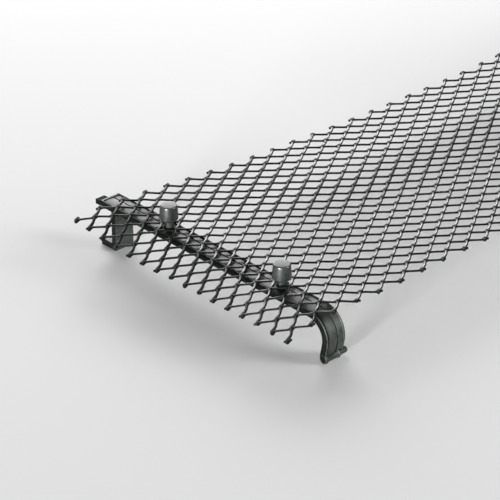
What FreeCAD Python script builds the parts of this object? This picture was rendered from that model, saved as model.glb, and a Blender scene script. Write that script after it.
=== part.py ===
import FreeCAD, Part
import math
import os
import Sketcher
from FreeCAD import Vector

# Gutter guard: a 0.5 m length of diamond netting laid on two moulded clip straps.
# Each strap lies across under the netting and ends in a round hook in front and a jaw behind,
# and two pegs rise from it through the netting and carry a push-on cap each.
# Millimetres. X runs along the netting, +Y is the back, -Y the front, Z is up,
# the floor is z = 0 and the origin is the middle of the bounding box's underside.
os.makedirs("parts", exist_ok=True)
doc = FreeCAD.newDocument("gutter_guard")
sheet = doc.addObject("Spreadsheet::Sheet", "dims")

SIZES = {
    # netting: openings are lattice diamonds, long diagonal along the length
    "pitch_long": 15.0,
    "pitch_across": 10.0,
    "cells_long": 33,
    "cells_across": 15,
    "strand_width": 1.4,
    "strand_depth": 1.6,
    "end_stub": 2.5,
    "side_stub": 1.5,
    # the straps reach further back than forward, so the netting lies forward of the middle
    "net_shift": 6.0,
    # clip strap: a band with a rim along each side, a wide and a narrow flat between them,
    # parted by a seam, a wall across its back end and a short tab beyond it
    "strap_steps": 4,
    "strap_width": 12.0,
    "strap_reach": 83.0,
    "rim_width": 0.9,
    "rim_height": 3.6,
    "edge_groove": 0.7,
    "wide_flat": 5.6,
    "seam_width": 0.5,
    "flat_height": 3.0,
    "groove_height": 2.4,
    "end_wall": 1.2,
    "tab_reach": 4.0,
    "tab_width": 6.0,
    # front hook, sized by the radius inside it: a heel, an arc and a straight leg,
    # ended by a cross bar with a collar at each end and a knob on one side
    "bead_radius": 9.5,
    "heel_sweep": 28.0,
    "hook_sweep": 100.0,
    "leg_drop": 7.5,
    "bar_lift": 2.4,
    "bar_radius": 2.1,
    "collar_radius": 2.6,
    "collar_width": 1.8,
    "ring_place": 2.6,
    "ring_width": 0.8,
    "knob_radius": 1.75,
    "knob_reach": 3.2,
    # rear jaw, open to the back, with a chamfered toe
    "jaw_depth": 8.0,
    "leg_thickness": 3.0,
    "toe_thickness": 3.6,
    "toe_lead": 1.4,
    # pegs through the netting and their caps
    "peg_pitches": 4,
    "peg_radius": 2.5,
    "peg_fit": 0.05,
    "neck_length": 3.0,
    "cap_bore_depth": 5.6,
    "cap_height": 8.2,
    "cap_foot_radius": 4.0,
    "cap_foot_height": 1.0,
    "cap_base_radius": 4.8,
    "cap_top_radius": 4.35,
    "cap_bevel": 0.5,
}
for row, (name, value) in enumerate(SIZES.items(), start=1):
    sheet.set(f"A{row}", name)
    sheet.set(f"B{row}", str(value))
    sheet.setAlias(f"B{row}", name)
doc.recompute()

# Heights follow from the hook: its bar's collars rest on the floor, the netting lies on the rims.
BAR_ARM = "(dims.bead_radius + dims.bar_lift)"
LEG_SIN = "sin(dims.hook_sweep * 1 deg)"
LEG_COS = "cos(dims.hook_sweep * 1 deg)"
HOOK_Y = "(dims.bead_radius + dims.rim_height - dims.strap_reach)"
HOOK_Z = f"(dims.collar_radius + dims.leg_drop * {LEG_SIN} - {BAR_ARM} * {LEG_COS})"
LEG_Y = f"({HOOK_Y} - dims.bead_radius * {LEG_SIN} - dims.leg_drop * {LEG_COS})"
LEG_Z = f"({HOOK_Z} + dims.bead_radius * {LEG_COS} - dims.leg_drop * {LEG_SIN})"
BAR_Y = f"({LEG_Y} - dims.bar_lift * {LEG_SIN})"
WEB_Z = f"({HOOK_Z} + dims.bead_radius)"
NET_Z = f"({WEB_Z} + dims.rim_height)"
CAP_Z = f"({NET_Z} + dims.strand_depth + dims.neck_length)"
BACK_END = "(dims.strap_reach - dims.tab_reach)"
PEG_BACK = "(dims.peg_pitches * dims.pitch_across - dims.net_shift)"
PEG_FRONT = "(-dims.peg_pitches * dims.pitch_across - dims.net_shift)"
STRAP_X = "((dims.cells_long - dims.strap_steps) * dims.pitch_long / 2)"


def number(formula):
    """Value of a formula over the sheet's named sizes."""
    value = sheet.evalExpression(formula)
    return float(getattr(value, "Value", value))


def bind(sketch, kind, refs, formula):
    """Dimension between two sketch points, kept positive, driven by a formula."""
    value = number(formula)
    first, second = refs
    if value < 0:
        first, second = second, first
        formula = f"-({formula})"
    index = sketch.addConstraint(Sketcher.Constraint(kind, *first, *second, abs(value)))
    sketch.setExpression(f"Constraints[{index}]", formula)


def pin(sketch, geometry, point, across, up):
    """Place one sketch point by its two formulas; "0" puts it on the axis."""
    for kind, axis, formula in (("DistanceX", -2, across), ("DistanceY", -1, up)):
        if formula == "0":
            sketch.addConstraint(Sketcher.Constraint("PointOnObject", geometry, point, axis))
        else:
            bind(sketch, kind, ((-1, 1), (geometry, point)), formula)


def polygon(sketch, corners):
    """Closed outline through corners given as pairs of formulas."""
    points = [Vector(number(across), number(up), 0) for across, up in corners]
    start = sketch.GeometryCount
    count = len(points)
    for i in range(count):
        sketch.addGeometry(Part.LineSegment(points[i], points[(i + 1) % count]), False)
    for i in range(count):
        follower = start + (i + 1) % count
        sketch.addConstraint(Sketcher.Constraint("Coincident", start + i, 2, follower, 1))
    for i, (across, up) in enumerate(corners):
        pin(sketch, start + i, 1, across, up)


def disc(sketch, across, up, radius):
    """Circle placed and sized by formulas."""
    centre = Vector(number(across), number(up), 0)
    circle = Part.Circle(centre, Vector(0, 0, 1), number(radius))
    index = sketch.addGeometry(circle, False)
    pin(sketch, index, 3, across, up)
    size = sketch.addConstraint(Sketcher.Constraint("Radius", index, number(radius)))
    sketch.setExpression(f"Constraints[{size}]", radius)


def new_body(label):
    body = doc.addObject("PartDesign::Body", label)
    body.Label = label
    return body


def axis_of(body, role):
    """One of the body's own origin planes or axes."""
    return next(item for item in body.Origin.OriginFeatures if item.Role == role)


def new_sketch(body, name, plane, offsets=None):
    """Sketch on one of the body's origin planes, shifted by formulas."""
    sketch = body.newObject("Sketcher::SketchObject", name)
    sketch.AttachmentSupport = [(axis_of(body, plane), "")]
    sketch.MapMode = "FlatFace"
    for direction, formula in (offsets or {}).items():
        sketch.setExpression(f"AttachmentOffset.Base.{direction}", formula)
    doc.recompute()
    return sketch


def pad(body, name, sketch, length, both_ways=False):
    feature = body.newObject("PartDesign::Pad", name)
    feature.Profile = sketch
    feature.setExpression("Length", length)
    feature.Midplane = both_ways
    doc.recompute()
    return feature


# Netting: one sheet of crossing strands, in three lengths that meet at mid strand.
# The openings are cut from a flat plate, so strands stay fused at every crossing.
STEP_X = "(dims.pitch_long / 2)"
SLANT = "sqrt(dims.pitch_long ^ 2 + dims.pitch_across ^ 2)"
OPENING_X = f"(dims.pitch_long / 2 - dims.strand_width / 2 * {SLANT} / dims.pitch_across)"
OPENING_Y = f"(dims.pitch_across / 2 - dims.strand_width / 2 * {SLANT} / dims.pitch_long)"
NET_HALF_X = "(dims.cells_long * dims.pitch_long / 2 + dims.end_stub)"
NET_HALF_Y = "(dims.cells_across * dims.pitch_across / 2 + dims.side_stub)"
NET_FRONT = f"(-{NET_HALF_Y} - dims.net_shift)"
NET_BACK = f"({NET_HALF_Y} - dims.net_shift)"
cells_long = round(number("dims.cells_long"))
cells_across = round(number("dims.cells_across"))
# Joint planes counted in half cells from the near end, halfway along a strand.
joint_one = 2 * cells_long // 3 - 0.5
joint_two = 2 * cells_long - joint_one


def netting(label, low, high, first, last):
    """Plate from low to high less the diamonds of columns first to last (half cells)."""
    body = new_body(label)
    outline = new_sketch(body, f"{label}_outline", "XY_Plane", {"z": NET_Z})
    polygon(outline, [(low, NET_FRONT), (high, NET_FRONT), (high, NET_BACK), (low, NET_BACK)])
    pad(body, f"{label}_plate", outline, "dims.strand_depth")
    diamonds = new_sketch(body, f"{label}_diamonds", "XY_Plane", {"z": NET_Z})
    for step in (0, 1):
        middle_x = f"({first + step} - dims.cells_long) * {STEP_X}"
        middle_y = f"(({step - 1} - dims.cells_across) * dims.pitch_across / 2 - dims.net_shift)"
        polygon(diamonds, [(f"{middle_x} - {OPENING_X}", middle_y),
                           (middle_x, f"{middle_y} - {OPENING_Y}"),
                           (f"{middle_x} + {OPENING_X}", middle_y),
                           (middle_x, f"{middle_y} + {OPENING_Y}")])
    pocket = body.newObject("PartDesign::Pocket", f"{label}_opening")
    pocket.Profile = diamonds
    pocket.setExpression("Length", "dims.strand_depth * 4")
    pocket.Midplane = True
    doc.recompute()
    grid = body.newObject("PartDesign::LinearPattern", f"{label}_openings")
    grid.Originals = [pocket]
    grid.Direction = (axis_of(body, "X_Axis"), [""])
    grid.Direction2 = (axis_of(body, "Y_Axis"), [""])
    grid.Mode = "Spacing"
    grid.Mode2 = "Spacing"
    grid.setExpression("Offset", "dims.pitch_long")
    grid.setExpression("Offset2", "dims.pitch_across")
    grid.Occurrences = (last - first) // 2 + 1
    grid.Occurrences2 = cells_across + 3
    grid.Refine = False
    body.Tip = grid
    doc.recompute()
    return body


def plane_at(half_cells):
    return f"({half_cells} - dims.cells_long) * {STEP_X}"


def even_below(half_cells):
    return 2 * math.floor(half_cells / 2)


NET_LENGTHS = (
    ("mesh_near", f"-{NET_HALF_X}", plane_at(joint_one), -2, even_below(joint_one + 1)),
    ("mesh_middle", plane_at(joint_one), plane_at(joint_two),
     even_below(joint_one - 1), even_below(joint_two + 1)),
    ("mesh_far", plane_at(joint_two), NET_HALF_X, even_below(joint_two - 1), 2 * cells_long),
)
nodes = [netting(*length) for length in NET_LENGTHS]


def clip_strap(label, place_x):
    """Strap with hook, cross bar, rear jaw and two pegs, moulded as one piece."""
    body = new_body(label)
    side = "dims.strap_width / 2"
    top = f"{WEB_Z} + dims.rim_height"
    flat = f"{WEB_Z} + dims.flat_height"
    groove = f"{WEB_Z} + dims.groove_height"
    root = f"{WEB_Z} + dims.groove_height / 2"

    spine = new_sketch(body, f"{label}_spine", "YZ_Plane")
    back = Vector(number(BACK_END), number(WEB_Z), 0)
    bend = Vector(number(HOOK_Y), number(WEB_Z), 0)
    eye = Vector(number(HOOK_Y), number(HOOK_Z), 0)
    sweep = math.radians(number("dims.hook_sweep"))
    ring = Part.Circle(eye, Vector(0, 0, 1), number("dims.bead_radius"))
    arc = Part.ArcOfCircle(ring, math.pi / 2, math.pi / 2 + sweep)
    leg_end = Vector(number(LEG_Y), number(LEG_Z), 0)
    spine.addGeometry(Part.LineSegment(back, bend), False)
    spine.addGeometry(arc, False)
    spine.addGeometry(Part.LineSegment(arc.EndPoint, leg_end), False)
    spine.addConstraint(Sketcher.Constraint("Coincident", 0, 2, 1, 1))
    spine.addConstraint(Sketcher.Constraint("Coincident", 1, 2, 2, 1))
    pin(spine, 0, 1, BACK_END, WEB_Z)
    pin(spine, 0, 2, HOOK_Y, WEB_Z)
    pin(spine, 1, 3, HOOK_Y, HOOK_Z)
    turn = spine.addConstraint(Sketcher.Constraint("Angle", 1, sweep))
    spine.setExpression(f"Constraints[{turn}]", "dims.hook_sweep * 1 deg")
    pin(spine, 2, 2, LEG_Y, LEG_Z)

    section = new_sketch(body, f"{label}_section", "XZ_Plane", {"z": f"-{BACK_END}"})
    inner = f"({side} - dims.rim_width)"
    flat_edge = f"(dims.edge_groove - {inner})"
    seam = f"({flat_edge} + dims.wide_flat)"
    seam_end = f"({seam} + dims.seam_width)"
    polygon(section, [(side, WEB_Z), (side, top), (inner, top), (inner, flat),
                      (seam_end, flat), (seam_end, groove), (seam, groove), (seam, flat),
                      (flat_edge, flat), (flat_edge, groove), (f"-{inner}", groove),
                      (f"-{inner}", top), (f"-{side}", top), (f"-{side}", WEB_Z)])
    doc.recompute()
    band = body.newObject("PartDesign::AdditivePipe", f"{label}_band")
    band.Profile = section
    band.Spine = (spine, ["Edge1", "Edge2", "Edge3"])
    doc.recompute()

    wall = new_sketch(body, f"{label}_end_outline", "XZ_Plane", {"z": f"-{BACK_END}"})
    polygon(wall, [(side, WEB_Z), (side, top), (f"-{side}", top), (f"-{side}", WEB_Z)])
    pad(body, f"{label}_end_wall", wall, "dims.end_wall")

    tab = new_sketch(body, f"{label}_tab_outline", "XZ_Plane", {"z": "-dims.strap_reach"})
    tab_side = f"(dims.tab_width - {side})"
    polygon(tab, [(tab_side, WEB_Z), (tab_side, flat), (f"-{side}", flat), (f"-{side}", WEB_Z)])
    pad(body, f"{label}_tab", tab, "dims.tab_reach + dims.end_wall / 2")

    heel = new_sketch(body, f"{label}_heel_outline", "YZ_Plane")
    heel_y = f"({HOOK_Y} + dims.bead_radius * sin(dims.heel_sweep * 1 deg))"
    lean = math.radians(number("dims.heel_sweep"))
    behind = Part.ArcOfCircle(ring, math.pi / 2 - lean, math.pi / 2)
    above = [Vector(number(across), number(root), 0) for across in (HOOK_Y, heel_y)]
    heel.addGeometry(behind, False)
    heel.addGeometry(Part.LineSegment(behind.EndPoint, above[0]), False)
    heel.addGeometry(Part.LineSegment(above[0], above[1]), False)
    heel.addGeometry(Part.LineSegment(above[1], behind.StartPoint), False)
    for first, second in ((0, 1), (1, 2), (2, 3)):
        heel.addConstraint(Sketcher.Constraint("Coincident", first, 2, second, 1))
    heel.addConstraint(Sketcher.Constraint("Coincident", 3, 2, 0, 1))
    pin(heel, 0, 3, HOOK_Y, HOOK_Z)
    pin(heel, 1, 1, HOOK_Y, WEB_Z)
    pin(heel, 2, 1, HOOK_Y, root)
    pin(heel, 3, 1, heel_y, root)
    heel.addConstraint(Sketcher.Constraint("Vertical", 3))
    pad(body, f"{label}_heel", heel, "dims.strap_width", both_ways=True)

    bar = new_sketch(body, f"{label}_bar_outline", "XY_Plane",
                     {"y": BAR_Y, "z": "dims.collar_radius"})
    collar = f"(dims.collar_width - {side})"
    ring_end = "(dims.ring_place + dims.ring_width)"
    tip = f"({side} + dims.knob_reach)"
    polygon(bar, [(f"-{side}", "0"), (tip, "0"), (tip, "dims.knob_radius / 2"),
                  (f"{tip} - dims.knob_radius / 2", "dims.knob_radius"),
                  (ring_end, "dims.knob_radius"), (ring_end, "dims.collar_radius"),
                  ("dims.ring_place", "dims.collar_radius"), ("dims.ring_place", "dims.bar_radius"),
                  (collar, "dims.bar_radius"), (collar, "dims.collar_radius"),
                  (f"-{side}", "dims.collar_radius")])
    turned = body.newObject("PartDesign::Revolution", f"{label}_bar")
    turned.Profile = bar
    turned.ReferenceAxis = (bar, ["H_Axis"])
    turned.Angle = 360.0
    doc.recompute()

    jaw = new_sketch(body, f"{label}_jaw_outline", "YZ_Plane")
    toe = BACK_END
    mouth = f"({toe} - dims.jaw_depth)"
    shin = f"({mouth} - dims.leg_thickness)"
    polygon(jaw, [(shin, root), (shin, "0"), (toe, "0"),
                  (toe, "dims.toe_thickness - dims.toe_lead"),
                  (f"{toe} - dims.toe_lead", "dims.toe_thickness"),
                  (mouth, "dims.toe_thickness"), (mouth, root)])
    pad(body, f"{label}_jaw", jaw, "dims.strap_width", both_ways=True)

    pegs = new_sketch(body, f"{label}_peg_outlines", "XY_Plane", {"z": root})
    for across_y in (PEG_BACK, PEG_FRONT):
        disc(pegs, "0", across_y, "dims.peg_radius")
    peg_length = f"{CAP_Z} + dims.cap_bore_depth - {WEB_Z} - dims.groove_height / 2"
    pad(body, f"{label}_pegs", pegs, peg_length)
    body.setExpression("Placement.Base.x", place_x)
    doc.recompute()
    return body


def peg_cap(label, place_x, place_y):
    """Push-on cap: a short tapered drum, bevelled on top, bored to sit on its peg."""
    body = new_body(label)
    bore = "dims.peg_radius + dims.peg_fit"
    outline = new_sketch(body, f"{label}_outline", "XZ_Plane")
    polygon(outline, [(bore, "0"), ("dims.cap_foot_radius", "0"),
                      ("dims.cap_base_radius", "dims.cap_foot_height"),
                      ("dims.cap_top_radius", "dims.cap_height - dims.cap_bevel"),
                      ("dims.cap_top_radius - dims.cap_bevel", "dims.cap_height"),
                      ("0", "dims.cap_height"), ("0", "dims.cap_bore_depth"),
                      (bore, "dims.cap_bore_depth")])
    turned = body.newObject("PartDesign::Revolution", f"{label}_drum")
    turned.Profile = outline
    turned.ReferenceAxis = (outline, ["V_Axis"])
    turned.Angle = 360.0
    for direction, formula in (("x", place_x), ("y", place_y), ("z", CAP_Z)):
        body.setExpression(f"Placement.Base.{direction}", formula)
    doc.recompute()
    return body


for end, place in (("near", f"-{STRAP_X}"), ("far", STRAP_X)):
    nodes.append(clip_strap(f"clip_strap_{end}", place))
    nodes.append(peg_cap(f"cap_{end}_back", place, PEG_BACK))
    nodes.append(peg_cap(f"cap_{end}_front", place, PEG_FRONT))

doc.recompute()
for item in doc.Objects:
    if "Invalid" in item.State or "Error" in item.State:
        raise RuntimeError(f"{item.Label}: {item.State}")
for node in nodes:
    shape = node.Shape
    if shape.isNull() or not shape.isValid() or len(shape.Solids) != 1:
        raise RuntimeError(f"{node.Label}: not one valid solid")
    shape.exportStep(f"parts/{node.Label}.step")
    box = shape.BoundBox
    print(f"{node.Label}: {shape.Volume:.0f} mm3, x {box.XMin:.2f} {box.XMax:.2f}, "
          f"y {box.YMin:.2f} {box.YMax:.2f}, z {box.ZMin:.2f} {box.ZMax:.2f}")
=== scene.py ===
import math

import bpy
import numpy as np
from mathutils import Matrix


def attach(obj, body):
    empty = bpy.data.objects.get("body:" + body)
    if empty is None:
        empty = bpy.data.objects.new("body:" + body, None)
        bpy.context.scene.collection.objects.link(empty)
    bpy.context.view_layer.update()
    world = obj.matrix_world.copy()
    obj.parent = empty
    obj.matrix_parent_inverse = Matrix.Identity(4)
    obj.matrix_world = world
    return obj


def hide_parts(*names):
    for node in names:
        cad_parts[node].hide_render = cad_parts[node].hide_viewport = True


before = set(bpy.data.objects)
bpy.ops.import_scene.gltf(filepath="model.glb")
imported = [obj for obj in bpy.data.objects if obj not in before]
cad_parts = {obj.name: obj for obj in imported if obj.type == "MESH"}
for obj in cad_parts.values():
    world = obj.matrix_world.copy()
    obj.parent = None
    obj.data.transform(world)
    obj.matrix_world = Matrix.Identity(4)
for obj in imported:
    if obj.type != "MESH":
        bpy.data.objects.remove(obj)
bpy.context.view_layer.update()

# Clip straps. Each is one injection moulding in satin black-grey plastic: a band with low rims and two
# flats, which turns down into a round hook in front and stands on a jaw behind. A cross bar with a
# knob ends the hook, and two pegs rise from the band through the netting.
strap_x = {"near": -0.2175, "far": 0.2175}
strap_width = 0.012
half_width = strap_width / 2
strap_reach = 0.083
tab_reach = 0.004
tab_width = 0.006
tab_base = 0.0002
tab_top = 0.0028
rim_width = 0.0009
rim_height = 0.0036
edge_groove = 0.0007
wide_flat = 0.0056
seam_width = 0.0005
flat_height = 0.0030
groove_height = 0.0024
crown_rise = 0.00018
crown_points = 7
end_wall = 0.0012
wall_base = 0.0004
wall_inset = 0.00002
wall_gap = 0.00005
hook_radius = 0.0095
heel_sweep = math.radians(28.0)
heel_points = 10
hook_sweep = math.radians(100.0)
leg_drop = 0.0075
run_points = 16
arc_points = 36
leg_points = 4
bar_lift = 0.0024
bar_radius = 0.0021
collar_radius = 0.0026
knob_radius = 0.00175
jaw_depth = 0.008
jaw_leg = 0.003
toe_height = 0.0036
toe_lead = 0.0014
peg_offset = 0.040
peg_radius = 0.0025
peg_bevel = 0.0002
strand_depth = 0.0016
neck_length = 0.003
cap_bore = 0.0056
side_inset = 0.00004
edge_width = 0.00016
edge_angle = math.radians(38.0)
back_end = strap_reach - tab_reach
hook_y = hook_radius + rim_height - strap_reach
hook_z = collar_radius + leg_drop * math.sin(hook_sweep) - (hook_radius + bar_lift) * math.cos(hook_sweep)
web_z = hook_z + hook_radius
net_y = -0.006
net_z = web_z + rim_height
cap_z = net_z + strand_depth + neck_length
peg_y = {"back": net_y + peg_offset, "front": net_y - peg_offset}
leg_way = np.array([-math.cos(hook_sweep), -math.sin(hook_sweep)])
leg_face = np.array([-math.sin(hook_sweep), math.cos(hook_sweep)])
arc_end = np.array([hook_y, hook_z]) + hook_radius * leg_face

# Rounded top of a rim (across, up), measured from its outer top corner.
rim_nose = np.array([(0.0, -0.00034), (-0.00009, -0.00012), (-0.00026, -0.00002), (-0.00045, 0.0),
                     (-0.00066, -0.00002), (-0.00082, -0.00012), (-rim_width, -0.00034)])

# Cross bar (station, radius) from its outer collar over the plain bar and the ring to the knob's tip.
bar_outline = np.array([
    (-half_width - 0.00012, 0.0018), (-half_width + 0.0001, 0.0023), (-half_width + 0.0008, collar_radius),
    (-half_width + 0.0013, 0.0025), (-half_width + 0.0020, bar_radius), (0.0026, bar_radius),
    (0.0027, 0.0024), (0.0030, collar_radius), (0.0033, 0.0024), (0.0034, knob_radius),
    (half_width + 0.0021, knob_radius), (half_width + 0.0028, 0.0015), (half_width + 0.0031, 0.0011),
    (half_width + 0.0032, 0.0005)])


def lofted(rings):
    """Closed skin over a stack of equal rings: quads between neighbours, one face on each end.
    A shell is its points and its blocks of faces, each block an array of corner numbers."""
    rows, sides = rings.shape[:2]
    here = np.arange(rows - 1)[:, None] * sides + np.arange(sides)
    turn = np.arange(rows - 1)[:, None] * sides + (np.arange(sides) + 1) % sides
    quads = np.stack([here, turn, turn + sides, here + sides], axis=2).reshape(-1, 4)
    first = np.arange(sides)[None, ::-1]
    last = (rows - 1) * sides + np.arange(sides)[None]
    return rings.reshape(-1, 3), [quads, first, last]


def carried(profile, points, rises):
    """Profile (across, up) carried along a path in the YZ plane: vertex = (across, point + up * rise).
    Rows follow the path, columns the closed profile."""
    across = np.broadcast_to(profile[:, 0], (len(points), len(profile)))
    place = points[:, None, :] + profile[None, :, 1, None] * rises[:, None, :]
    return lofted(np.concatenate([across[..., None], place], axis=2))


def turned(outline, centre, along, sides):
    """Outline (station, radius) turned about a line through centre: a ring of each radius at its station."""
    angle = np.linspace(0.0, 2.0 * np.pi, sides, endpoint=False)
    along = np.array(along, float)
    first = np.roll(along, 1)
    second = np.cross(along, first)
    spoke = np.cos(angle)[:, None] * first + np.sin(angle)[:, None] * second
    rings = outline[:, 0, None, None] * along + outline[:, 1, None, None] * spoke
    return lofted(rings + np.array(centre, float))


def pushed(outline, low=-half_width, high=half_width):
    """Outline in the YZ plane pushed from low to high across the strap: one ring just inside each side."""
    stations = np.array([high - side_inset, low + side_inset])
    rings = np.empty((2, len(outline), 3))
    rings[:, :, 0] = stations[:, None]
    rings[:, :, 1:] = outline
    return lofted(rings)


def joined(name, shells):
    """One mesh object from several closed shells, with its place in its vertices."""
    faces = []
    base = 0
    for points, blocks in shells:
        for block in blocks:
            faces += (block + base).tolist()
        base += len(points)
    mesh = bpy.data.meshes.new(name)
    mesh.from_pydata(np.concatenate([points for points, blocks in shells]).tolist(), [], faces)
    mesh.polygons.foreach_set("use_smooth", np.ones(len(mesh.polygons), bool))
    mesh.update()
    piece = bpy.data.objects.new(name, mesh)
    bpy.context.scene.collection.objects.link(piece)
    return piece


def face_values(piece, kind, width):
    """One row for each face of a mesh: its normal, its center or its area."""
    values = np.empty(len(piece.data.polygons) * width)
    piece.data.polygons.foreach_get(kind, values)
    return values.reshape(-1, width)


def eased(piece, width):
    """Rounds the sharp edges that a mould leaves, so that they catch light."""
    bevel = piece.modifiers.new("eased_edges", "BEVEL")
    bevel.width = width
    bevel.segments = 2
    bevel.limit_method = "ANGLE"
    bevel.angle_limit = edge_angle
    bevel.harden_normals = True
    piece.data.set_sharp_from_angle(angle=edge_angle)


def band_section():
    """Closed outline (across, up) of the band: a rounded rim on each side, a narrow flat, a seam, a wide
    flat with a slight crown, rise = crown_rise (1 - t^2), and a groove beside it."""
    inner = half_width - rim_width
    flat_edge = edge_groove - inner
    seam = flat_edge + wide_flat
    crown = np.linspace(-1.0, 1.0, crown_points)[::-1]
    wide_top = np.stack([(seam + flat_edge) / 2 + crown * wide_flat / 2,
                         flat_height + crown_rise * (1.0 - crown ** 2)], axis=1)
    return np.concatenate([
        [(half_width, 0.0)],
        rim_nose + (half_width, rim_height),
        [(inner, flat_height), (seam + seam_width, flat_height),
         (seam + seam_width, groove_height), (seam, groove_height)],
        wide_top,
        [(flat_edge, groove_height), (-inner, groove_height)],
        (rim_nose * (-1.0, 1.0) + (-half_width, rim_height))[::-1],
        [(-half_width, 0.0)]])


def hook_spine():
    """Path (y, z) of the band and the way its section rises there: a level run from the back end, an arc
    of hook_radius through hook_sweep, and a straight leg in the direction that the arc ends in."""
    run = np.linspace(back_end, hook_y, run_points)[:-1]
    turn = np.linspace(0.0, hook_sweep, arc_points)
    drop = np.linspace(0.0, leg_drop, leg_points)[1:]
    points = np.concatenate([
        np.stack([run, np.full_like(run, web_z)], axis=1),
        np.stack([hook_y - hook_radius * np.sin(turn), hook_z + hook_radius * np.cos(turn)], axis=1),
        arc_end + drop[:, None] * leg_way])
    rises = np.concatenate([
        np.stack([np.zeros_like(run), np.ones_like(run)], axis=1),
        np.stack([-np.sin(turn), np.cos(turn)], axis=1),
        np.broadcast_to(leg_face, (len(drop), 2))])
    return points, rises


def clip_strap(place):
    """Shells of one strap: the band carried along its spine; heel, end wall, tab and jaw pushed across it;
    the cross bar turned about X and the pegs about Z."""
    root = web_z + groove_height / 2
    lean = np.linspace(heel_sweep, 0.0, heel_points)
    heel_arc = np.stack([hook_y + hook_radius * np.sin(lean), hook_z + hook_radius * np.cos(lean)], axis=1)
    heel = np.concatenate([heel_arc, [(hook_y, root), (heel_arc[0, 0], root)]])
    wall_front = back_end - end_wall
    wall_back = back_end - wall_inset
    wall = np.array([(wall_front, web_z + wall_base), (wall_back, web_z + wall_base),
                     (wall_back, net_z - wall_gap), (wall_front, net_z - wall_gap)])
    tab = np.array([(wall_front, web_z + tab_base), (strap_reach, web_z + tab_base),
                    (strap_reach, web_z + tab_top), (wall_front, web_z + tab_top)])
    mouth = back_end - jaw_depth
    shin = mouth - jaw_leg
    jaw = np.array([(shin, root), (shin, 0.0), (back_end, 0.0), (back_end, toe_height - toe_lead),
                    (back_end - toe_lead, toe_height), (mouth, toe_height), (mouth, root)])
    bar_middle = arc_end + leg_drop * leg_way + bar_lift * leg_face
    peg_top = cap_z + cap_bore
    peg = np.array([(root, peg_radius), (peg_top - peg_bevel, peg_radius),
                    (peg_top, peg_radius - peg_bevel)])
    shells = [
        carried(band_section(), *hook_spine()),
        pushed(heel),
        pushed(wall),
        pushed(tab, -half_width, tab_width - half_width),
        pushed(jaw),
        turned(bar_outline, (0.0, *bar_middle), (1.0, 0.0, 0.0), sides=40)]
    shells += [turned(peg, (0.0, y, 0.0), (0.0, 0.0, 1.0), sides=32) for y in peg_y.values()]
    return [(points + np.array([place, 0.0, 0.0]), blocks) for points, blocks in shells]


def moulded_skin():
    """Shared finish of moulded plastic: broad clouds and small mottling give its tone and patchy gloss,
    and a fine grain its height."""
    cloud_scale, cloud_detail = 70.0, 4.0
    mottle_scale, mottle_detail = 560.0, 3.0
    grain_detail = 2.0
    noise_mean = 0.5
    group = bpy.data.node_groups.new("moulded_skin", "ShaderNodeTree")
    for name, usual in (("Scale", 900.0), ("Gloss", 0.4), ("Patch", 0.12)):
        socket = group.interface.new_socket(name, in_out="INPUT", socket_type="NodeSocketFloat")
        socket.default_value = usual
    for name in ("Tone", "Roughness", "Height"):
        group.interface.new_socket(name, in_out="OUTPUT", socket_type="NodeSocketFloat")
    nodes, links = group.nodes, group.links
    given = nodes.new("NodeGroupInput")
    out = nodes.new("NodeGroupOutput")
    place = nodes.new("ShaderNodeTexCoord")

    def noise(detail):
        texture = nodes.new("ShaderNodeTexNoise")
        texture.inputs["Detail"].default_value = detail
        links.new(place.outputs["Object"], texture.inputs["Vector"])
        return texture

    def reckoned(operation, *terms):
        """Math node over its terms, each a socket or a plain number."""
        node = nodes.new("ShaderNodeMath")
        node.operation = operation
        for slot, term in zip(node.inputs, terms):
            if isinstance(term, float):
                slot.default_value = term
            else:
                links.new(term, slot)
        return node.outputs[0]

    cloud = noise(cloud_detail)
    cloud.inputs["Scale"].default_value = cloud_scale
    mottle = noise(mottle_detail)
    mottle.inputs["Scale"].default_value = mottle_scale
    grain = noise(grain_detail)
    links.new(given.outputs["Scale"], grain.inputs["Scale"])
    summed = reckoned("ADD", cloud.outputs["Fac"], mottle.outputs["Fac"])
    centred = reckoned("SUBTRACT", summed, 2.0 * noise_mean)
    tone = reckoned("ADD", centred, noise_mean)
    rough = reckoned("MULTIPLY_ADD", centred, given.outputs["Patch"], given.outputs["Gloss"])
    links.new(tone, out.inputs["Tone"])
    links.new(rough, out.inputs["Roughness"])
    links.new(grain.outputs["Fac"], out.inputs["Height"])
    return group


skin = moulded_skin()
tone_low = 0.35
tone_high = 0.68
grain_strength = 0.25


def plastic(name, dark, light, gloss, patch, grain_scale, grain_height, specular):
    """Black plastic: tone drifts between two greys, gloss and grain come from the moulded skin."""
    material = bpy.data.materials.new(name)
    material.use_nodes = True
    nodes, links = material.node_tree.nodes, material.node_tree.links
    shader = nodes["Principled BSDF"]
    shader.inputs["Specular IOR Level"].default_value = specular
    effect = nodes.new("ShaderNodeGroup")
    effect.node_tree = skin
    effect.inputs["Scale"].default_value = grain_scale
    effect.inputs["Gloss"].default_value = gloss
    effect.inputs["Patch"].default_value = patch
    tone = nodes.new("ShaderNodeValToRGB")
    tone.color_ramp.elements[0].position = tone_low
    tone.color_ramp.elements[1].position = tone_high
    tone.color_ramp.elements[0].color = (*dark, 1.0)
    tone.color_ramp.elements[1].color = (*light, 1.0)
    bump = nodes.new("ShaderNodeBump")
    bump.inputs["Strength"].default_value = grain_strength
    bump.inputs["Distance"].default_value = grain_height
    links.new(effect.outputs["Tone"], tone.inputs["Fac"])
    links.new(tone.outputs["Color"], shader.inputs["Base Color"])
    links.new(effect.outputs["Roughness"], shader.inputs["Roughness"])
    links.new(effect.outputs["Height"], bump.inputs["Height"])
    links.new(bump.outputs["Normal"], shader.inputs["Normal"])
    return material


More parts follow.
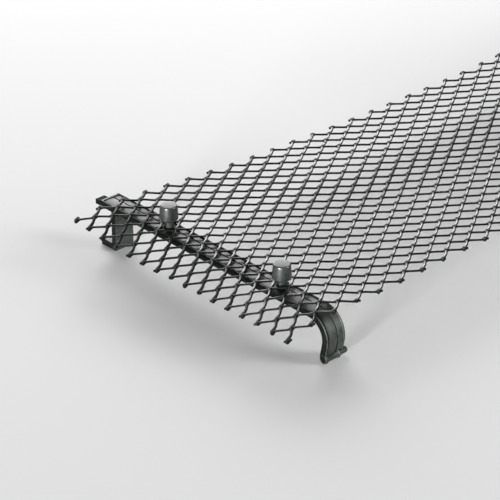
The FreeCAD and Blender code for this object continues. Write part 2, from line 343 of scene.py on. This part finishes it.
# The band's large side faces and the tab get a painted shade: a near-black colour that stands in for the
# shadow on them. They are also less glossy than its top.
strap_plastic = plastic("strap_plastic", dark=(0.020, 0.025, 0.021), light=(0.044, 0.053, 0.046),
                        gloss=0.38, patch=0.22, grain_scale=1400.0, grain_height=0.00004, specular=0.34)
painted_shade_plastic = plastic("strap_painted_shade_plastic", dark=(0.004, 0.005, 0.005), light=(0.008, 0.010, 0.009),
                       gloss=0.58, patch=0.16, grain_scale=1400.0, grain_height=0.00012, specular=0.03)
sideways_normal = 0.98
least_side_area = 1.0e-6
tab_margin = 0.0005
for end, place in strap_x.items():
    strap = joined(f"clip_strap_{end}_moulding", clip_strap(place))
    # Faces that get the painted shade: the band's large side faces and the whole tab.
    painted_shade_faces = np.abs(face_values(strap, "normal", 3)[:, 0]) > sideways_normal
    painted_shade_faces &= face_values(strap, "area", 1)[:, 0] > least_side_area
    painted_shade_faces |= face_values(strap, "center", 3)[:, 1] > back_end + tab_margin
    strap.data.polygons.foreach_set("material_index", painted_shade_faces.astype(np.int32))
    eased(strap, edge_width)
    strap.data.materials.append(strap_plastic)
    strap.data.materials.append(painted_shade_plastic)
    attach(strap, "root")
    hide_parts(f"clip_strap_{end}")

# Netting. One sheet of black diamond netting: two sets of strands cross and are fused at thick
# knots, and run in slight S curves between them. It lies on the strap rims and its cut ends
# stand out as short stubs. Three lengths meet halfway along a strand.
half_long = 0.0075
half_across = 0.005
cells_long = 33
cells_across = 15
net_lengths = {"near": (-0.375, 21.5), "middle": (21.5, 44.5), "far": (44.5, 66.375)}
first_strand, end_strand = -30, 98
least_stub, most_stub = 0.20, 0.36
steps = 8
sides = 8
bow = 0.36
curl = 0.54
crimp = 0.20
knot_spread = 0.135
rising_strand = {"width": 0.00160, "knot_width": 0.80, "depth": 0.00118, "knot_depth": 0.18,
                 "height": 0.00024, "knot_height": -0.0003}
falling_strand = {"width": 0.00120, "knot_width": 1.45, "depth": 0.00110, "knot_depth": 0.45,
                  "height": -0.00016, "knot_height": 0.0003}
rng = np.random.default_rng(7)


def ramp(value, start, run):
    """Straight rise from 0 at start to 1 at start + run, level beyond both."""
    return np.clip((value - start) / run, 0.0, 1.0)


def soft_step(share):
    """Ramp from 0 to 1 with level ends, 3 t^2 - 2 t^3."""
    return share ** 2 * (3.0 - 2.0 * share)


def mound(x, y, centre, spread):
    """Bell of height 1 about a centre, exp(-(dx / spread x)^2 - (dy / spread y)^2)."""
    return np.exp(-((x - centre[0]) / spread[0]) ** 2 - ((y - centre[1]) / spread[1]) ** 2)


def relief(x, y):
    """Lie of the sheet, added up: a sag 4 t (1 - t) between the straps that grows from the front edge to
    the free back edge, a droop past the straps, a lift over the near hook, a raised back corner and faint
    ripples that end at the straps."""
    sag_depth, sag_start, sag_run = 0.0105, -0.2075, 0.415
    front_edge, sheet_width, sag_early = -0.082, 0.157, 0.4
    droop_depth, droop_start, droop_run, droop_power = 0.0029, 0.2225, 0.025, 1.3
    lift_height, lift_centre, lift_spread = 0.0018, (strap_x["near"], -0.056), (0.026, 0.024)
    corner_height, corner_centre, corner_spread = 0.0034, (-0.2425, 0.072), (0.022, 0.020)
    ripple_height, held_width = 0.0002, 0.016
    ripple_waves = ((71.0, 23.0, 0.4), (37.0, -58.0, 2.1))
    span = ramp(x, sag_start, sag_run)
    between = 4.0 * span * (1.0 - span)
    inward = ramp(y, front_edge, sheet_width)
    hang = inward * (1.0 + sag_early - sag_early * inward)
    past = ramp(np.abs(x), droop_start, droop_run) ** droop_power
    lift = mound(x, y, lift_centre, lift_spread)
    corner = mound(x, y, corner_centre, corner_spread)
    held = np.exp(-((np.abs(x) - strap_x["far"]) / held_width) ** 4)
    ripple = sum(np.sin(x * along + y * across + start) for along, across, start in ripple_waves)
    return (-sag_depth * between * hang - droop_depth * past + lift_height * lift + corner_height * corner
            + ripple_height * ripple * (1.0 - held))


def strand_path(column, rising):
    """Place c across the sheet and slope of a strand at each column t, in half cells. Rising strands bow
    to the front, c = t - bow (1 - cos 2 pi t) / 2 pi; falling ones step at the knots,
    c = t - (curl sin 2 pi t + crimp sin 4 pi t / 2) / 2 pi."""
    turn = 2.0 * np.pi * (column - np.floor(column))
    if rising:
        wave = bow * (1.0 - np.cos(turn))
        slope = 1.0 - bow * np.sin(turn)
    else:
        wave = curl * np.sin(turn) + crimp * np.sin(2.0 * turn) / 2.0
        slope = -1.0 + curl * np.cos(turn) + crimp * np.cos(2.0 * turn)
    return column - wave / (2.0 * np.pi), slope


def rubbed(x, y):
    """Share, 0 to 1, by which the sheet is rubbed smooth: a zone along the front that narrows away from
    the near end and stops short of it, and a second one far back."""
    front_line, front_fade = 0.058, 0.038
    narrowing, narrow_from, narrow_most = 0.6, -0.215, 0.046
    end_line, end_fade, end_slant_from, end_slant_most = -0.2325, 0.012, 0.020, 0.02
    back_line, back_fade, back_from, back_run, back_share = 0.016, 0.022, -0.140, 0.030, 0.9
    narrowed = np.clip(narrowing * (x - narrow_from), 0.0, narrow_most)
    slanted = np.clip(-end_slant_from - y, 0.0, end_slant_most)
    front = soft_step(ramp(-narrowed - y, -front_line, front_fade))
    front = front * soft_step(ramp(x + slanted, end_line, end_fade))
    back = soft_step(ramp(y, back_line, back_fade) * ramp(x, back_from, back_run))
    return np.maximum(front, back_share * back)


def rising_finish(x, y, part):
    """Lean and sheen of a rising strand: both follow a stroke sin^2 between the knots, and the rubbed zones
    turn the strand the other way and polish it."""
    stroke_skew, least_stroke = 0.8, 0.35
    usual_lean, rubbed_lean = 0.30, 0.58
    usual_sheen, rubbed_base, rubbed_sheen = 0.30, 0.04, 0.66
    polish = rubbed(x, y)
    stroke = np.sin(np.pi * part ** stroke_skew) ** 2
    lean = (usual_lean - rubbed_lean * polish) * (least_stroke + (1.0 - least_stroke) * stroke)
    return lean, usual_sheen * stroke + polish * (rubbed_base + rubbed_sheen * stroke)


def falling_finish(x, y, knot):
    """Lean and sheen of a falling strand: it lies flat, shines between the dull knots, and shines more in
    the sheet's front corner at the near end."""
    usual_sheen, corner_sheen, knot_loss = 0.50, 0.50, 0.98
    front_from, front_fade, end_from, end_fade = 0.018, 0.014, 0.2105, 0.008
    corner = ramp(-y, front_from, front_fade) * ramp(-x, end_from, end_fade)
    return np.zeros_like(y), (usual_sheen + corner_sheen * corner) * (1.0 - knot_loss * knot)


def strands(low, high, rising):
    """One set of strands between two columns, and the sheen of its points. An eight-sided section follows
    each strand's path on the sheet's relief; it swells at the knots by exp(-(distance / knot_spread)^2).
    Strands are cut to stubs of uneven length at the sheet's edges."""
    strand = rising_strand if rising else falling_strand
    column = np.arange(low * steps, high * steps + 1) / steps
    part = column - np.floor(column)
    number = np.arange(first_strand, end_strand, 2)[:, None]
    curved, slope = strand_path(column, rising)
    straight = number - column if rising else column - number
    row = number - curved if rising else curved - number
    stub = rng.uniform(least_stub, most_stub, (len(number), 4))
    shown = ((straight > -stub[:, 0:1]) & (straight < 2 * cells_across + stub[:, 1:2])
             & (column > -stub[:, 2:3]) & (column < 2 * cells_long + stub[:, 3:4]))

    x = np.broadcast_to((column - cells_long) * half_long, row.shape)
    y = (cells_across - row) * half_across
    knot = np.exp(-(np.minimum(part, 1.0 - part) / knot_spread) ** 2)
    wide = strand["width"] * (1.0 + strand["knot_width"] * knot) / 2
    deep = strand["depth"] * (1.0 + strand["knot_depth"] * knot) / 2
    z = net_z + strand_depth / 2 + relief(x, y) + strand["height"] + strand["knot_height"] * knot
    lean, sheen = rising_finish(x, y, part) if rising else falling_finish(x, y, knot)

    side = slope * half_across
    length = np.hypot(half_long, side)
    normal_x = -side / length
    normal_y = np.full_like(side, half_long) / length
    angle = np.linspace(0.0, 2.0 * np.pi, sides, endpoint=False) + np.pi / sides
    flat = wide[:, None] * np.cos(angle)
    tall = deep[:, None] * np.sin(angle)
    u = flat * np.cos(lean)[..., None] - tall * np.sin(lean)[..., None]
    v = flat * np.sin(lean)[..., None] + tall * np.cos(lean)[..., None]
    ring = np.stack([normal_x[:, None] * u, normal_y[:, None] * u, v], axis=3)
    points = np.stack([x, y + net_y, z], axis=2)[:, :, None, :] + ring

    place = (np.cumsum(shown) - 1).reshape(shown.shape) * sides
    follows = shown[:, :-1] & shown[:, 1:]
    here = place[:, :-1][follows][:, None]
    there = place[:, 1:][follows][:, None]
    j = np.arange(sides)
    k = (j + 1) % sides
    quads = np.stack([there + j, there + k, here + k, here + j], axis=2).reshape(-1, 4)
    before = np.pad(shown, ((0, 0), (1, 0)))[:, :-1]
    after = np.pad(shown, ((0, 0), (0, 1)))[:, 1:]
    starts = place[shown & ~before][:, None] + j
    ends = place[shown & ~after][:, None] + j[::-1]
    return (points[shown].reshape(-1, 3), [quads, starts, ends]), np.repeat(sheen[shown], sides)


net_plastic = plastic("net_plastic", dark=(0.004, 0.005, 0.005), light=(0.008, 0.010, 0.009),
                      gloss=0.56, patch=0.10, grain_scale=1800.0, grain_height=0.00006, specular=0.04)
net_shader = net_plastic.node_tree.nodes["Principled BSDF"]
net_shader.inputs["Coat Roughness"].default_value = 0.21
painted = net_plastic.node_tree.nodes.new("ShaderNodeAttribute")
painted.attribute_name = "sheen"
net_plastic.node_tree.links.new(painted.outputs["Fac"], net_shader.inputs["Coat Weight"])
for length_name, (low, high) in net_lengths.items():
    rising_set, rising_sheen = strands(low, high, True)
    falling_set, falling_sheen = strands(low, high, False)
    net = joined(f"netting_{length_name}", [rising_set, falling_set])
    paint = net.data.attributes.new("sheen", "FLOAT", "POINT")
    paint.data.foreach_set("value", np.concatenate([rising_sheen, falling_sheen]))
    net.data.materials.append(net_plastic)
    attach(net, "root")
    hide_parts(f"mesh_{length_name}")

# Caps. Short tapered drums in black plastic, pushed on to the pegs above the netting. Their tops
# are smooth and bevelled, and their feet draw in where they meet the peg.
cap_outline = np.array([
    (0.0, 0.0), (0.0, 0.0038), (0.0001, 0.0041), (0.0006, 0.00458), (0.0009, 0.00476),
    (0.0013, 0.00479), (0.0074, 0.00437), (0.0077, 0.00433), (0.0080, 0.00418), (0.00815, 0.00398),
    (0.0082, 0.00370), (0.0082, 0.0)])
cap_plastic = plastic("cap_plastic", dark=(0.010, 0.013, 0.011), light=(0.021, 0.026, 0.023),
                      gloss=0.34, patch=0.18, grain_scale=1600.0, grain_height=0.00004, specular=1.0)
top_plastic = plastic("cap_top_plastic", dark=(0.010, 0.013, 0.011), light=(0.022, 0.027, 0.024),
                      gloss=0.42, patch=0.22, grain_scale=1600.0, grain_height=0.00008, specular=0.5)
cap_crease = math.radians(50.0)
upward_normal = 0.9
for end, place in strap_x.items():
    for spot, y in peg_y.items():
        drum = turned(cap_outline, (place, y, cap_z), (0.0, 0.0, 1.0), sides=48)
        cap = joined(f"cap_{end}_{spot}_drum", [drum])
        cap.data.set_sharp_from_angle(angle=cap_crease)
        upward = face_values(cap, "normal", 3)[:, 2] > upward_normal
        cap.data.polygons.foreach_set("material_index", upward.astype(np.int32))
        cap.data.materials.append(cap_plastic)
        cap.data.materials.append(top_plastic)
        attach(cap, "root")
        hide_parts(f"cap_{end}_{spot}")

# Floor. A plain pale studio floor that the guard stands on, matt, so that it shows only
# the soft shadow.
floor_half = 6.0
floor_tone = 0.92
floor_corners = floor_half * np.array([(-1, -1, 0), (1, -1, 0), (1, 1, 0), (-1, 1, 0)])
floor_mesh = bpy.data.meshes.new("floor")
floor_mesh.from_pydata(floor_corners.tolist(), [], [(0, 1, 2, 3)])
floor = bpy.data.objects.new("floor", floor_mesh)
bpy.context.scene.collection.objects.link(floor)
pale = bpy.data.materials.new("pale_floor")
pale.use_nodes = True
pale_shader = pale.node_tree.nodes["Principled BSDF"]
pale_shader.inputs["Base Color"].default_value = (floor_tone, floor_tone, floor_tone, 1.0)
pale_shader.inputs["Roughness"].default_value = 0.9
pale_shader.inputs["Specular IOR Level"].default_value = 0.1
floor_mesh.materials.append(pale)

# Light. A pale room with a large soft panel behind, which runs along the rising strands, a low one far
# to the left for the sides of the caps and a wide weak one at the front right for the hooks.
room_strength = 0.15
lit_spot = np.array([-0.16, 0.0, 0.02])
world = bpy.data.worlds.new("studio")
world.use_nodes = True
room = world.node_tree.nodes["Background"]
room.inputs["Color"].default_value = (1.0, 1.0, 1.0, 1.0)
room.inputs["Strength"].default_value = room_strength
bpy.context.scene.world = world


def placed(thing, right, up, back, spot):
    """Puts a lamp or camera at a spot, looking against back, with its own right and up."""
    frame_here = np.eye(4)
    frame_here[:3] = np.stack([right, up, back, spot], axis=1)
    thing.matrix_world = Matrix(frame_here.tolist())
    bpy.context.scene.collection.objects.link(thing)


def soft_panel(name, direction, distance, size, power):
    """Rectangular lamp at a distance in a direction from the lit spot, turned towards it."""
    lamp = bpy.data.lights.new(name, "AREA")
    lamp.shape = "RECTANGLE"
    lamp.size, lamp.size_y = size
    lamp.energy = power
    away = np.array(direction, float) / np.linalg.norm(direction)
    right = np.cross([0.0, 0.0, 1.0], away)
    right /= np.linalg.norm(right)
    holder = bpy.data.objects.new(name, lamp)
    placed(holder, right, np.cross(away, right), away, lit_spot + away * distance)


soft_panel("panel_back", direction=(0.535, 0.770, 0.348), distance=1.8, size=(1.6, 1.3), power=44.0)
soft_panel("panel_left", direction=(-0.95, -0.30, 0.045), distance=4.0, size=(0.96, 0.53), power=412.0)
soft_panel("panel_right", direction=(0.55, -0.75, 0.42), distance=4.0, size=(1.25, 2.75), power=84.0)

# Camera. Long lens at the photograph's angle, from the front left and about 30 degrees above, set off
# from a point of the netting near its end by a distance to the right, down and away.
turn = math.radians(43.66)
rise = math.radians(29.30)
roll = math.radians(-0.29)
off_right, off_down, off_away = 0.00925, -0.00752, 1.22888
aim = np.array([-0.1875, net_y, net_z + strand_depth / 2])
forward = np.array([math.sin(turn) * math.cos(rise), math.cos(turn) * math.cos(rise), -math.sin(rise)])
level = np.array([math.cos(turn), -math.sin(turn), 0.0])
plumb = np.cross(forward, level)
right = math.cos(roll) * level + math.sin(roll) * plumb
down = -math.sin(roll) * level + math.cos(roll) * plumb
lens = bpy.data.cameras.new("camera")
lens.sensor_width = 36.0
lens.lens = 180.0
lens.clip_end = 50.0
camera = bpy.data.objects.new("camera", lens)
placed(camera, right, -down, -forward, aim - (off_right * right + off_down * down + off_away * forward))
bpy.context.scene.camera = camera
bpy.context.scene.view_settings.view_transform = "Standard"
